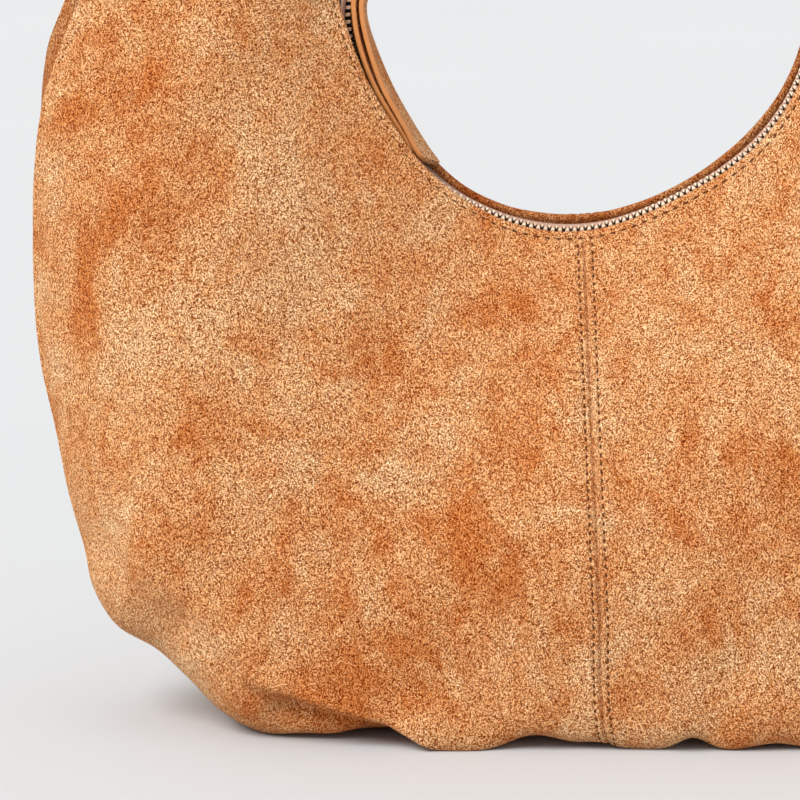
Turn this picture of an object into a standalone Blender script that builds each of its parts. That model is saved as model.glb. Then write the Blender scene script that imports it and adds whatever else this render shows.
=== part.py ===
"""Slouchy crescent hobo bag in suede, standing on its base with its zip closed.

Row frame: metres, +Z up, X across the bag, -Y towards the front. The origin is on the floor under the
middle of the bag. The mouth is a scoop closed by a curved metal zip. The zip lies on a cone whose axis
runs along Y through ZIP_AXIS, so the slider travels by turning about that axis.
"""

import math

import bmesh
import bpy
import numpy as np
from mathutils import Vector

MM = 0.001

# ---------------------------------------------------------------- driving dimensions
BODY_HALF_WIDTH = 203 * MM
HORN_TOP = 350.0 * MM
HORN_INNER_X = 92.0 * MM
HORN_OUTER_X = 130.0 * MM
BASE_HALF_LENGTH = 114.0 * MM
SUEDE = 1.6 * MM
LINING = 0.8 * MM
CLEARANCE = 0.35 * MM

# The zip: a chain on an arc, on a cone that leans towards the front.
ZIP_AXIS = Vector((0.0, 0.0, 0.270))
ZIP_RADIUS = 85.2 * MM
ZIP_LEAN = math.radians(18.0)
TAPE_THICK = 0.6 * MM
TAPE_HALF_WIDTH = 5.0 * MM
ROW_GAP = 0.6 * MM
ROW_OUTER = 3.0 * MM
ROW_HEIGHT = 1.8 * MM
TAPE_END_DEG = 102.0
SLIDER_REST_DEG = -96.5
SLIDER_SPAN_DEG = 6.4

# The mouth's turned edges, measured on the zip's cone: how far out and how far up they stand.
RIM_SIDE = 7.4 * MM
RIM_LIFT = 2.3 * MM
RIM_WAVE = 1.5 * MM
RIM_ARC_DEG = 95.0

# The pull: a suede strip folded through a wire ring.
PULL_TIP_DEG = -41.5
PULL_HALF_WIDTH = 6.0 * MM
PULL_LAYER = 2.0 * MM
PULL_GAP = 1.3 * MM
PULL_BOW = 3.0 * MM
RING_WIRE = 1.2 * MM

# The shoulder strap: a flat padded arch that folds over at the horns.
STRAP_WIDTH = HORN_OUTER_X - HORN_INNER_X
STRAP_CENTRE_X = (HORN_OUTER_X + HORN_INNER_X) / 2
STRAP_FOLD_Z = HORN_TOP + 5.4 * MM
STRAP_APEX_Z = 470.0 * MM
STRAP_HALF_THICK = 3.3 * MM
STRAP_SUEDE = 1.5 * MM

# ---------------------------------------------------------------- materials
SUEDE_TAN = (0.62, 0.27, 0.10, 1.0)
LINING_BEIGE = (0.60, 0.47, 0.33, 1.0)
TAPE_TAN = (0.55, 0.33, 0.20, 1.0)
PALE_GOLD = (0.83, 0.72, 0.50, 1.0)
EDGE_PAINT = (0.70, 0.34, 0.12, 1.0)
WEBBING = (0.45, 0.30, 0.18, 1.0)


def material(name, colour, roughness, metallic=0.0):
    made = bpy.data.materials.get(name)
    if made is None:
        made = bpy.data.materials.new(name)
        made.use_nodes = True
        shader = made.node_tree.nodes["Principled BSDF"]
        shader.inputs["Base Color"].default_value = colour
        shader.inputs["Roughness"].default_value = roughness
        shader.inputs["Metallic"].default_value = metallic
    return made


def suede():
    return material("suede", SUEDE_TAN, 0.95)


def gold():
    return material("pale_gold_metal", PALE_GOLD, 0.25, 1.0)


# ---------------------------------------------------------------- curves
def catmull(points, values):
    """Reads a smooth curve through points, spaced by chord length, at values from 0 to 1."""
    points = np.asarray(points, float)
    chord = np.sqrt(np.linalg.norm(np.diff(points, axis=0), axis=1))
    knots = np.concatenate([[0.0], np.cumsum(chord)])
    slopes = np.gradient(points, knots, axis=0)
    at = np.clip(np.asarray(values, float), 0, 1) * knots[-1]
    span = np.clip(np.searchsorted(knots, at, side="right") - 1, 0, len(points) - 2)
    width = (knots[span + 1] - knots[span])[:, None]
    t = ((at - knots[span]) / width[:, 0])[:, None]
    start = (2 * t**3 - 3 * t**2 + 1) * points[span] + (t**3 - 2 * t**2 + t) * width * slopes[span]
    end = (3 * t**2 - 2 * t**3) * points[span + 1] + (t**3 - t**2) * width * slopes[span + 1]
    return start + end


def evenly(curve_points, fractions):
    """Points of a dense polyline at fractions of its length."""
    steps = np.linalg.norm(np.diff(curve_points, axis=0), axis=1)
    length = np.concatenate([[0.0], np.cumsum(steps)])
    at = np.asarray(fractions, float) * length[-1]
    return np.stack([np.interp(at, length, curve_points[:, k]) for k in range(curve_points.shape[1])], axis=1)


def smooth_table(knots, values, at):
    """A smooth function of one number through (knot, value) pairs."""
    knots = np.asarray(knots, float)
    values = np.asarray(values, float)
    slopes = np.gradient(values, knots)
    at = np.clip(at, knots[0], knots[-1])
    span = np.clip(np.searchsorted(knots, at, side="right") - 1, 0, len(knots) - 2)
    width = knots[span + 1] - knots[span]
    t = (at - knots[span]) / width
    start = (2 * t**3 - 3 * t**2 + 1) * values[span] + (t**3 - 2 * t**2 + t) * width * slopes[span]
    end = (3 * t**2 - 2 * t**3) * values[span + 1] + (t**3 - t**2) * width * slopes[span + 1]
    return start + end


# ---------------------------------------------------------------- the zip's cone
def on_zip(degrees, side, lift):
    """A point on the zip's cone: degrees from straight down, side towards the back, lift into the mouth."""
    angle = math.radians(degrees)
    radius = ZIP_RADIUS - side * math.sin(ZIP_LEAN) - lift * math.cos(ZIP_LEAN)
    depth = side * math.cos(ZIP_LEAN) - lift * math.sin(ZIP_LEAN)
    return ZIP_AXIS + Vector((radius * math.sin(angle), depth, -radius * math.cos(angle)))


def rim_lift(degrees):
    """The mouth's edge dips at the bottom of the scoop and covers more of the zip at 45 degrees."""
    return RIM_LIFT - RIM_WAVE * math.cos(math.radians(4 * degrees))


# ---------------------------------------------------------------- the body's shape
# The outer seam, right half, from the middle of the base to the outside of the horn's tip.
OUTER_SEAM = (
    (0.0, -4 * MM),
    (BASE_HALF_LENGTH, -4 * MM),
    (148 * MM, 15 * MM),
    (177 * MM, 40 * MM),
    (187 * MM, 72 * MM),
    (196 * MM, 110 * MM),
    (BODY_HALF_WIDTH, 165 * MM),
    (199 * MM, 238 * MM),
    (181 * MM, 288 * MM),
    (150 * MM, 326 * MM),
    (HORN_OUTER_X, HORN_TOP),
)
# Along the body from the middle (0) to a horn's tip (1).
STATIONS = (0.0, 0.12, 0.24, 0.36, 0.5, 0.65, 0.8, 0.92, 1.0)
FULLNESS = (58 * MM, 57 * MM, 54 * MM, 49 * MM, 41 * MM, 30 * MM, 17 * MM, 6.5 * MM, 2.3 * MM)
FULLEST_AT = (0.72, 0.72, 0.70, 0.64, 0.56, 0.52, 0.50, 0.50, 0.50)
SQUARENESS = (6.5, 6.0, 2.8, 2.2, 2.0, 1.9, 1.9, 2.0, 2.2)
RIM_STATIONS = (0.0, 0.74, 0.86, 1.0)
RIM_DEPTH = (1.0, 1.0, 0.30, 0.06)
SHOULDER = 0.55


def rim_curve(face):
    """The mouth's edge of one face (-1 front, +1 back), right half, as dense (x, y, z) points."""
    arc = [on_zip(a, face * RIM_SIDE, rim_lift(a)) for a in np.linspace(0, RIM_ARC_DEG, 96)]
    start = np.array(arc[-1])
    tip = np.array((HORN_INNER_X, start[1], HORN_TOP))
    reach = np.linalg.norm(tip - start)
    leave = np.array((-0.08, 0.0, 1.0)) * reach
    arrive = np.array((0.12, 0.0, 1.0)) * reach
    t = np.linspace(0, 1, 60)[1:, None]
    rise = (2 * t**3 - 3 * t**2 + 1) * start + (t**3 - 2 * t**2 + t) * leave
    rise = rise + (3 * t**2 - 2 * t**3) * tip + (t**3 - t**2) * arrive
    return np.vstack([np.array(arc), rise])


def body_grid(face, along, across):
    """Points of the outside of one face, for signed stations along (-1 to 1) and across (0 rim, 1 seam)."""
    along = np.asarray(along, float)
    across = np.asarray(across, float)
    station = np.abs(along)
    rim = evenly(rim_curve(face), station)
    seam = evenly(catmull(OUTER_SEAM, np.linspace(0, 1, 400)), station)
    depth = smooth_table(STATIONS, FULLNESS, station)[:, None]
    fullest = smooth_table(STATIONS, FULLEST_AT, station)[:, None]
    power = 2 / smooth_table(STATIONS, SQUARENESS, station)[:, None]
    edge = (np.abs(rim[:, 1]) * smooth_table(RIM_STATIONS, RIM_DEPTH, station))[:, None]
    inner = np.clip(across / SHOULDER, 0, 1)[None, :]
    outer = np.clip((across - SHOULDER) / (1 - SHOULDER), 0, 1)[None, :] * (math.pi / 2)
    beyond = fullest + (1 - fullest) * np.sin(outer) ** power
    reach = np.where(across[None, :] <= SHOULDER, fullest * inner, beyond)
    bulge = np.where(
        across[None, :] <= SHOULDER,
        edge + (depth - edge) * np.sin(inner * math.pi / 2),
        depth * np.maximum(np.cos(outer), 0) ** power,
    )
    x = rim[:, 0:1] + (seam[:, 0:1] - rim[:, 0:1]) * reach
    z = rim[:, 2:3] + (seam[:, 1:2] - rim[:, 2:3]) * reach
    x = x * np.where(along < 0, -1.0, 1.0)[:, None]
    return np.stack([x, face * bulge, np.maximum(z, 0.0)], axis=2)


def grid_normals(grid):
    """Unit normals of a grid of points, from its own neighbours."""
    across = np.cross(np.gradient(grid, axis=0), np.gradient(grid, axis=1))
    return across / np.maximum(np.linalg.norm(across, axis=2, keepdims=True), 1e-12)


def inset_grid(grid, face, distance):
    """The grid moved inwards, kept on its own side of the bag's middle plane and above the floor."""
    normals = grid_normals(grid)
    outwards = np.sign((normals[:, :, 1] * face).sum())
    moved = grid - normals * outwards * distance
    moved[:, :, 1] = face * np.maximum(moved[:, :, 1] * face, CLEARANCE / 2)
    floor = np.minimum(grid[:, :, 2] + distance, distance)
    moved[:, :, 2] = np.maximum(moved[:, :, 2], floor)
    return moved


# ---------------------------------------------------------------- solids
def add_solid(name, points, faces, look, smooth=True):
    mesh = bpy.data.meshes.new(name)
    mesh.from_pydata([tuple(p) for p in points], [], faces)
    shape = bmesh.new()
    shape.from_mesh(mesh)
    bmesh.ops.recalc_face_normals(shape, faces=shape.faces)
    if shape.calc_volume(signed=True) < 0:
        bmesh.ops.reverse_faces(shape, faces=shape.faces)
    shape.to_mesh(mesh)
    shape.free()
    if smooth:
        mesh.shade_smooth()
        mesh.set_sharp_from_angle(angle=math.radians(40))
    mesh.materials.append(look)
    made = bpy.data.objects.new(name, mesh)
    bpy.context.scene.collection.objects.link(made)
    return made


def add_shell(name, outside, inside, look):
    """A closed panel between two grids of points."""
    rows, columns = outside.shape[:2]
    points = np.vstack([outside.reshape(-1, 3), inside.reshape(-1, 3)])
    count = rows * columns

    def at(layer, i, j):
        return layer * count + i * columns + j

    faces = []
    for i in range(rows - 1):
        for j in range(columns - 1):
            faces.append((at(0, i, j), at(0, i, j + 1), at(0, i + 1, j + 1), at(0, i + 1, j)))
            faces.append((at(1, i, j), at(1, i + 1, j), at(1, i + 1, j + 1), at(1, i, j + 1)))
    border = [(i, 0) for i in range(rows)]
    border += [(rows - 1, j) for j in range(1, columns)]
    border += [(i, columns - 1) for i in range(rows - 2, -1, -1)]
    border += [(0, j) for j in range(columns - 2, 0, -1)]
    for here, there in zip(border, border[1:] + border[:1]):
        faces.append((at(0, *here), at(0, *there), at(1, *there), at(1, *here)))
    return add_solid(name, points, faces, look)


def add_sweep(name, sections, look):
    """A closed solid through rings of points, with its two ends capped."""
    count = len(sections[0])
    points = [p for section in sections for p in section]
    faces = [tuple(range(count)), tuple(range(len(points) - 1, len(points) - count - 1, -1))]
    for i in range(len(sections) - 1):
        for j in range(count):
            k = (j + 1) % count
            faces.append((i * count + j, i * count + k, (i + 1) * count + k, (i + 1) * count + j))
    return add_solid(name, points, faces, look)


def add_on_zip(name, section, first_deg, last_deg, look, step_deg=5.0):
    """A section of (side, lift) corners turned about the zip's axis."""
    steps = max(1, round(abs(last_deg - first_deg) / step_deg))
    turns = np.linspace(first_deg, last_deg, steps + 1)
    rings = [[on_zip(a, side, lift) for side, lift in section] for a in turns]
    return add_sweep(name, rings, look)


def rectangle(side_low, side_high, lift_low, lift_high):
    return [(side_low, lift_low), (side_high, lift_low), (side_high, lift_high), (side_low, lift_high)]


# ---------------------------------------------------------------- suede panels and lining
PANEL_ALONG = np.concatenate([[0.0], np.linspace(0.05, 0.30, 6), np.linspace(0.36, 1.0, 12)])
PANEL_ACROSS = np.array([0.0, 0.14, 0.28, 0.42, 0.55, 0.66, 0.76, 0.85, 0.93, 1.0])
LINING_EASE = 1.2 * MM
LINING_END = 0.8
LINING_TOP = 0.08
LINING_BOTTOM = 0.955
POCKET_END = 0.22


def outside_grid(face, along, across):
    grid = body_grid(face, along, across)
    grid[:, :, 1] = face * np.maximum(grid[:, :, 1] * face, CLEARANCE / 2)
    return grid


def add_panel(name, face, hand):
    """One of the four suede quarters. They meet at the middle seam and at the outer seam."""
    outside = outside_grid(face, PANEL_ALONG * hand, PANEL_ACROSS)
    inside = inset_grid(outside, face, SUEDE)
    for grid in (outside, inside):
        grid[:, :, 0] = hand * np.maximum(grid[:, :, 0] * hand, CLEARANCE / 2)
    return add_shell(name, outside, inside, suede())


def add_lining(name, face):
    """One face of the loose lining, which stops below the zip and below the horns' tips."""
    stations = PANEL_ALONG[PANEL_ALONG < LINING_END]
    along = np.concatenate([-stations[:0:-1], stations])
    across = np.concatenate([[LINING_TOP], PANEL_ACROSS[1:-1], [LINING_BOTTOM]])
    grid = outside_grid(face, along, across)
    gap = SUEDE + LINING_EASE
    outside = inset_grid(grid, face, gap)
    inside = inset_grid(grid, face, gap + LINING)
    look = material("cotton_lining", LINING_BEIGE, 0.9)
    return add_shell(name, outside, inside, look)


def add_slip_pocket():
    """An open-topped pocket sewn flat on the back lining."""
    stations = PANEL_ALONG[PANEL_ALONG < POCKET_END]
    along = np.concatenate([-stations[:0:-1], stations])
    across = PANEL_ACROSS[1:5]
    grid = outside_grid(1, along, across)
    gap = SUEDE + LINING_EASE + LINING + 2 * CLEARANCE
    outside = inset_grid(grid, 1, gap)
    inside = inset_grid(grid, 1, gap + LINING)
    return add_shell("slip_pocket", outside, inside, material("cotton_lining", LINING_BEIGE, 0.9))


# ---------------------------------------------------------------- the zip
def add_zip():
    """Two tapes, two rows of teeth, the stops and the tabs that close the tape's ends."""
    tape = material("zip_tape", TAPE_TAN, 0.9)
    row_low = CLEARANCE
    row_high = CLEARANCE + ROW_HEIGHT
    for word, face in (("front", -1), ("back", 1)):
        inner, outer = sorted((face * ROW_GAP, face * TAPE_HALF_WIDTH))
        flat = rectangle(inner, outer, -TAPE_THICK, 0.0)
        add_on_zip(f"zip_tape_{word}", flat, -TAPE_END_DEG, TAPE_END_DEG, tape)
        inner, outer = sorted((face * ROW_GAP, face * ROW_OUTER))
        row = rectangle(inner, outer, row_low, row_high)
        last = TAPE_END_DEG - 2.6
        add_on_zip(f"zip_teeth_{word}", row, -last + 1.2, last - 2.4, gold())
        add_on_zip(f"zip_top_stop_{word}", row, -last - 0.6, -last + 0.9, gold())
    stop = rectangle(-ROW_OUTER, ROW_OUTER, row_low, row_high)
    add_on_zip("zip_bottom_stop", stop, last - 2.0, last + 0.6, gold())
    tab = rectangle(-TAPE_HALF_WIDTH, TAPE_HALF_WIDTH, -TAPE_THICK, 1.4 * MM)
    for word, hand in (("left", -1), ("right", 1)):
        near = hand * (TAPE_END_DEG + 0.4)
        add_on_zip(f"zip_end_tab_{word}", tab, near, near + hand * 3.2, suede(), step_deg=1.6)


SLIDER_HALF_WIDTH = 4.3 * MM
SLIDER_PLATE = 0.9 * MM
SLIDER_NECK = 0.5 * MM
SLIDER_TOP = CLEARANCE + ROW_HEIGHT + 0.5 * MM + SLIDER_PLATE
BRIDGE_HALF_SPAN_DEG = 2.3
BRIDGE_HALF_WIDTH = 1.3 * MM
BRIDGE_WALL = 0.7 * MM
BRIDGE_RISE = 3.6 * MM
RING_LIFT = SLIDER_TOP + 1.9 * MM
RING_LENGTH_DEG = 5.6


def add_slider():
    """The slider's two plates and the neck between the rows, and the bridge that the ring hangs from."""
    top = SLIDER_TOP
    under = top - SLIDER_PLATE
    low = -TAPE_THICK - 0.5 * MM
    half, neck = SLIDER_HALF_WIDTH, SLIDER_NECK / 2
    section = [
        (-half, top), (-half, under), (-neck, under),
        (-neck, low), (-half, low), (-half, low - SLIDER_PLATE),
    ]
    section += [(-side, lift) for side, lift in reversed(section)]
    first = SLIDER_REST_DEG - SLIDER_SPAN_DEG / 2
    slider = add_on_zip("zip_slider", section, first, first + SLIDER_SPAN_DEG, gold(), step_deg=1.6)

    foot = top + CLEARANCE
    turns = np.linspace(0, math.pi, 9)
    span, wall = BRIDGE_HALF_SPAN_DEG, math.degrees(BRIDGE_WALL / ZIP_RADIUS)
    crown = [(SLIDER_REST_DEG - span * math.cos(t), foot + BRIDGE_RISE * math.sin(t)) for t in turns]
    hollow = [
        (SLIDER_REST_DEG - (span - wall) * math.cos(t), foot + (BRIDGE_RISE - BRIDGE_WALL) * math.sin(t))
        for t in turns[::-1]
    ]
    arch = crown + hollow
    rings = [[on_zip(a, side, lift) for a, lift in arch] for side in (-BRIDGE_HALF_WIDTH, BRIDGE_HALF_WIDTH)]
    return [slider, add_sweep("slider_bridge", rings, gold())]


def add_pull_ring():
    """A rounded wire ring that passes under the bridge and holds the folded strip."""
    reach = RING_LENGTH_DEG / 2
    middle = SLIDER_REST_DEG + reach
    width = PULL_HALF_WIDTH + 2 * CLEARANCE + RING_WIRE / 2
    wire = bpy.data.curves.new("pull_ring", "CURVE")
    wire.dimensions = "3D"
    wire.bevel_depth = RING_WIRE / 2
    wire.bevel_resolution = 2
    turns = np.linspace(0, 2 * math.pi, 28, endpoint=False)
    line = wire.splines.new("POLY")
    line.points.add(len(turns) - 1)
    line.use_cyclic_u = True
    for point, t in zip(line.points, turns):
        square = (abs(math.cos(t)) ** 8 + abs(math.sin(t)) ** 8) ** -0.125
        place = on_zip(middle - reach * square * math.cos(t), width * square * math.sin(t), RING_LIFT)
        point.co = (*place, 1.0)
    wire.materials.append(gold())
    ring = bpy.data.objects.new("pull_ring", wire)
    bpy.context.scene.collection.objects.link(ring)
    return ring


def pull_lift(degrees):
    """Height of the middle of the folded strip above the tape. It bows over the concave mouth."""
    start = SLIDER_REST_DEG + RING_LENGTH_DEG
    share = min(1.0, max(0.0, (degrees - start) / (PULL_TIP_DEG - start)))
    rest = CLEARANCE * 2 + ROW_HEIGHT + PULL_LAYER + PULL_GAP / 2
    return RING_LIFT + (rest - RING_LIFT) * share + PULL_BOW * math.sin(math.pi * share)


def add_pull_strip():
    """One strip, folded double round the ring's far wire, its two ends lying on each other."""
    start = SLIDER_REST_DEG + RING_LENGTH_DEG
    run = np.concatenate([[start], np.linspace(start + 1.2, PULL_TIP_DEG, 15)])
    inner = PULL_GAP / 2
    outer = inner + PULL_LAYER
    bend = np.linspace(math.pi / 2, 3 * math.pi / 2, 7)

    def fold(radius):
        reach = math.degrees(radius / ZIP_RADIUS)
        return [(run[0] + reach * math.cos(b), pull_lift(run[0]) + radius * math.sin(b)) for b in bend]

    wire = RING_WIRE / 2 + CLEARANCE
    straight = run[1:]
    outline = [(a, pull_lift(a) + outer) for a in straight[::-1]]
    outline += fold(wire + PULL_LAYER)
    outline += [(a, pull_lift(a) - outer) for a in straight]
    outline += [(a, pull_lift(a) - inner) for a in straight[::-1]]
    outline += fold(wire)[::-1]
    outline += [(a, pull_lift(a) + inner) for a in straight]
    rings = [[on_zip(a, side, lift) for a, lift in outline] for side in (-PULL_HALF_WIDTH, PULL_HALF_WIDTH)]
    return add_sweep("pull_strip", rings, material("edge_painted_suede", EDGE_PAINT, 0.6))


# ---------------------------------------------------------------- the strap
def strap_arch(steps=28):
    """Centre and outward direction along the strap's arch, from the left fold to the right one."""
    path = []
    rise = STRAP_APEX_Z - STRAP_FOLD_Z
    for t in np.linspace(0, math.pi, steps + 1):
        centre = Vector((-STRAP_CENTRE_X * math.cos(t), 0, STRAP_FOLD_Z + rise * math.sin(t)))
        outward = Vector((-rise * math.cos(t), 0, STRAP_CENTRE_X * math.sin(t))).normalized()
        path.append((centre, outward))
    return path


def add_strap_layer(name, section, look, round_end=0.0):
    """A section of (width, depth) corners carried along the arch, its ends rounded about the fold's axis."""
    path = [(centre, outward, 1.0) for centre, outward in strap_arch()]
    if round_end:
        turns = [math.radians(a) for a in (25, 50, 70)]
        for hand in (-1, 1):
            foot = Vector((hand * STRAP_CENTRE_X, 0, STRAP_FOLD_Z))
            caps = []
            for a in turns:
                below = foot - Vector((0, 0, round_end * math.sin(a)))
                caps.append((below, Vector((hand, 0, 0)), math.cos(a)))
            path = path + caps if hand > 0 else caps[::-1] + path
    depthwards = Vector((0, 1, 0))
    rings = [[c + out * w + depthwards * d * flat for w, d in section] for c, out, flat in path]
    return add_sweep(name, rings, look)


def add_strap():
    """Front and back suede with turned-in edges, round a webbing core."""
    layers = []
    half = STRAP_WIDTH / 2
    hollow = half - STRAP_SUEDE
    middle = CLEARANCE / 2
    bottom = STRAP_HALF_THICK - STRAP_SUEDE
    for word, face in (("front", -1), ("back", 1)):
        section = [(-half, middle), (-half, STRAP_HALF_THICK), (half, STRAP_HALF_THICK), (half, middle)]
        section += [(hollow, middle), (hollow, bottom), (-hollow, bottom), (-hollow, middle)]
        turned = [(w, face * d) for w, d in section]
        layers.append(add_strap_layer(f"strap_{word}", turned, suede(), STRAP_HALF_THICK))
    wide, deep = hollow - CLEARANCE, bottom - CLEARANCE
    core = [(-wide, -deep), (wide, -deep), (wide, deep), (-wide, deep)]
    layers.append(add_strap_layer("strap_core", core, material("webbing", WEBBING, 0.9)))
    return layers


# ---------------------------------------------------------------- joints
def add_joint(name, place, pieces, parent=None):
    """An empty on a joint's axis, which carries the pieces that move with the joint."""
    joint = bpy.data.objects.new(name, None)
    joint.empty_display_size = 10 * MM
    joint.location = place
    bpy.context.scene.collection.objects.link(joint)
    bpy.context.view_layer.update()
    children = pieces if parent is None else pieces + [joint]
    for child in children:
        holder = parent if child is joint else joint
        child.parent = holder
        child.matrix_parent_inverse = holder.matrix_world.inverted()
    return joint


def main():
    for left_over in list(bpy.data.objects):
        bpy.data.objects.remove(left_over)
    for word, face in (("front", -1), ("back", 1)):
        add_panel(f"{word}_panel_left", face, -1)
        add_panel(f"{word}_panel_right", face, 1)
        add_lining(f"lining_{word}", face)
    add_slip_pocket()
    add_zip()
    zip_travel = add_joint("zip_travel", ZIP_AXIS, add_slider())
    pull_pivot = on_zip(SLIDER_REST_DEG, 0, RING_LIFT)
    add_joint("pull_swing", pull_pivot, [add_pull_ring(), add_pull_strip()], zip_travel)
    add_joint("strap_fold", (0, 0, STRAP_FOLD_Z), add_strap())


main()
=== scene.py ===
"""Visual model of a slouchy crescent hobo bag in tan suede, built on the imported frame.

Metres, +Z up, -Y towards the front, the origin on the floor under the bag. Each face of the bag is a
surface over two numbers: u runs from the middle seam (0) to a horn's tip (1 or -1), and v runs from the
mouth's edge (0) to the outer seam (1).
"""

import math

import bmesh
import bpy
import numpy as np
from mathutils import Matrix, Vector, noise


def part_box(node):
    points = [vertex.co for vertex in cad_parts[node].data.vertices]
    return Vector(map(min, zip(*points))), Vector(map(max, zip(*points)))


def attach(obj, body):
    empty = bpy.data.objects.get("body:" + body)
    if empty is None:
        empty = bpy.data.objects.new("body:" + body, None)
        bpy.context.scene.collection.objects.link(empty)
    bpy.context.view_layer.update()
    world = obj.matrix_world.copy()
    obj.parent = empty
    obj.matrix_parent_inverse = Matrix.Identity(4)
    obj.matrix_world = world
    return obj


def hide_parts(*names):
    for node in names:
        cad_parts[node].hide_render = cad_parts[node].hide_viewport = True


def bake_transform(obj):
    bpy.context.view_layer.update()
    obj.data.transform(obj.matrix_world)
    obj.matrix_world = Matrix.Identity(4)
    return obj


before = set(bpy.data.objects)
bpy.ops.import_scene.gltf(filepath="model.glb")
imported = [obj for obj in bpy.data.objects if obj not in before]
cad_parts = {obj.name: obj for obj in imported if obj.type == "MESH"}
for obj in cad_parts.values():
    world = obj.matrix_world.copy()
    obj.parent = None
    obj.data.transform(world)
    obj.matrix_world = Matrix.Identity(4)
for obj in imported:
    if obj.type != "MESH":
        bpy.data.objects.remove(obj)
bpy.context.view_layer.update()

MM = 0.001
FACES = (("front", -1), ("back", 1))
HANDS = (("left", -1), ("right", 1))
LEFT_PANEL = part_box("front_panel_left")
STRAP_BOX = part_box("strap_front")

# ---------------------------------------------------------------- sizes, from the frame and the design
BODY_HALF_WIDTH = -LEFT_PANEL[0][0]
HORN_TOP = LEFT_PANEL[1][2]
HORN_OUTER_X = STRAP_BOX[1][0]
HORN_INNER_X = HORN_OUTER_X - 38 * MM
SUEDE = 1.4 * MM
ZIP_AXIS = Vector((0.0, 0.0, 0.270))
ZIP_RADIUS = 85.2 * MM
ZIP_LEAN = math.radians(18)
ROW_LOW = 0.35 * MM
ROW_HEIGHT = 1.8 * MM
TOOTH_PITCH = 2.6 * MM
TAPE_END_DEG = 102.0
TAPE_THICK = 0.6 * MM
SLIDER_REST_DEG = -96.5
STITCH_PITCH = 4.1 * MM
STITCH_LENGTH = 2.7 * MM
# The middle seam's rows have smaller stitches.
SEAM_PITCH = 3.1 * MM
SEAM_STITCH = 1.9 * MM
# How far the rows of stitches stand from the middle seam, from the mouth's edge and from the horns' tips.
MIDDLE_ROW = 2.6 * MM
RIM_ROW = 2.4 * MM
TIP_ROW = 3.0 * MM
THREAD_RADIUS = 0.46 * MM
# The height of a stitch's ends, below the surface, and how much higher its middle is.
STITCH_ENDS = -0.30 * MM
STITCH_RISE = 0.42 * MM

# ---------------------------------------------------------------- curves


def catmull(points, values):
    """Reads a smooth curve through points, spaced by chord length, at values from 0 to 1."""
    points = np.asarray(points, float)
    chord = np.sqrt(np.linalg.norm(np.diff(points, axis=0), axis=1))
    knots = np.concatenate([[0.0], np.cumsum(chord)])
    return smooth_table(knots / knots[-1], points, values)


def smooth_table(knots, values, at):
    """A smooth function through (knot, value) pairs. A value may be a number or a point."""
    knots = np.asarray(knots, float)
    values = np.asarray(values, float)
    slopes = np.gradient(values, knots, axis=0)
    at = np.clip(np.asarray(at, float), knots[0], knots[-1])
    span = np.clip(np.searchsorted(knots, at, side="right") - 1, 0, len(knots) - 2)
    width = knots[span + 1] - knots[span]
    t = (at - knots[span]) / width
    if values.ndim == 2:
        t, width = t[:, None], width[:, None]
    start = (2 * t**3 - 3 * t**2 + 1) * values[span] + (t**3 - 2 * t**2 + t) * width * slopes[span]
    end = (3 * t**2 - 2 * t**3) * values[span + 1] + (t**3 - t**2) * width * slopes[span + 1]
    return start + end


def evenly(line, fractions):
    """Points of a dense polyline at fractions of its length."""
    steps = np.linalg.norm(np.diff(line, axis=0), axis=1)
    length = np.concatenate([[0.0], np.cumsum(steps)])
    at = np.asarray(fractions, float) * length[-1]
    return np.stack([np.interp(at, length, line[:, k]) for k in range(line.shape[1])], axis=1)


def smoothstep(low, high, value):
    """0 at low, 1 at high and smooth between them."""
    t = np.clip((value - low) / (high - low), 0, 1)
    return t * t * (3 - 2 * t)


def bell(value, middle, width):
    """1 at the middle, falling smoothly to nearly 0 within two widths."""
    return np.exp(-(((value - middle) / width) ** 2))


# ---------------------------------------------------------------- the zip's cone
# The chain wanders a little off its circle, as a sewn zip does. Degrees from the bottom of the scoop
# (negative is left) and how far out of the circle the zip lies.
WANDER_DEG = (
    -180, -96, -91, -86, -80, -70, -60, -50, -40, -33, -25, -16,
    -8, 0, 6, 12, 20, 29, 38, 48, 62, 78, 180,
)
WANDER = (
    0, 0, 0.6, 2.2, 3.0, 3.4, 3.8, 4.2, 4.6, 4.5, 4.2, 4.1,
    3.8, 2.8, 1.6, 0.1, -1.4, -2.1, -1.6, -0.8, -0.3, 0, 0,
)


def on_zip(degrees, side, lift, wander=True):
    """Points on the zip's cone: degrees from straight down, side towards the back, lift into the mouth."""
    degrees, side, lift = np.broadcast_arrays(*(np.asarray(x, float) for x in (degrees, side, lift)))
    angle = np.radians(degrees)
    radius = ZIP_RADIUS - side * math.sin(ZIP_LEAN) - lift * math.cos(ZIP_LEAN)
    # The pull doesn't wander, because it turns as one rigid piece.
    if wander:
        radius = radius + smooth_table(WANDER_DEG, WANDER, degrees.ravel()).reshape(degrees.shape) * MM
    depth = side * math.cos(ZIP_LEAN) - lift * math.sin(ZIP_LEAN)
    return np.stack([radius * np.sin(angle), depth, ZIP_AXIS.z - radius * np.cos(angle)], axis=-1)


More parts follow.
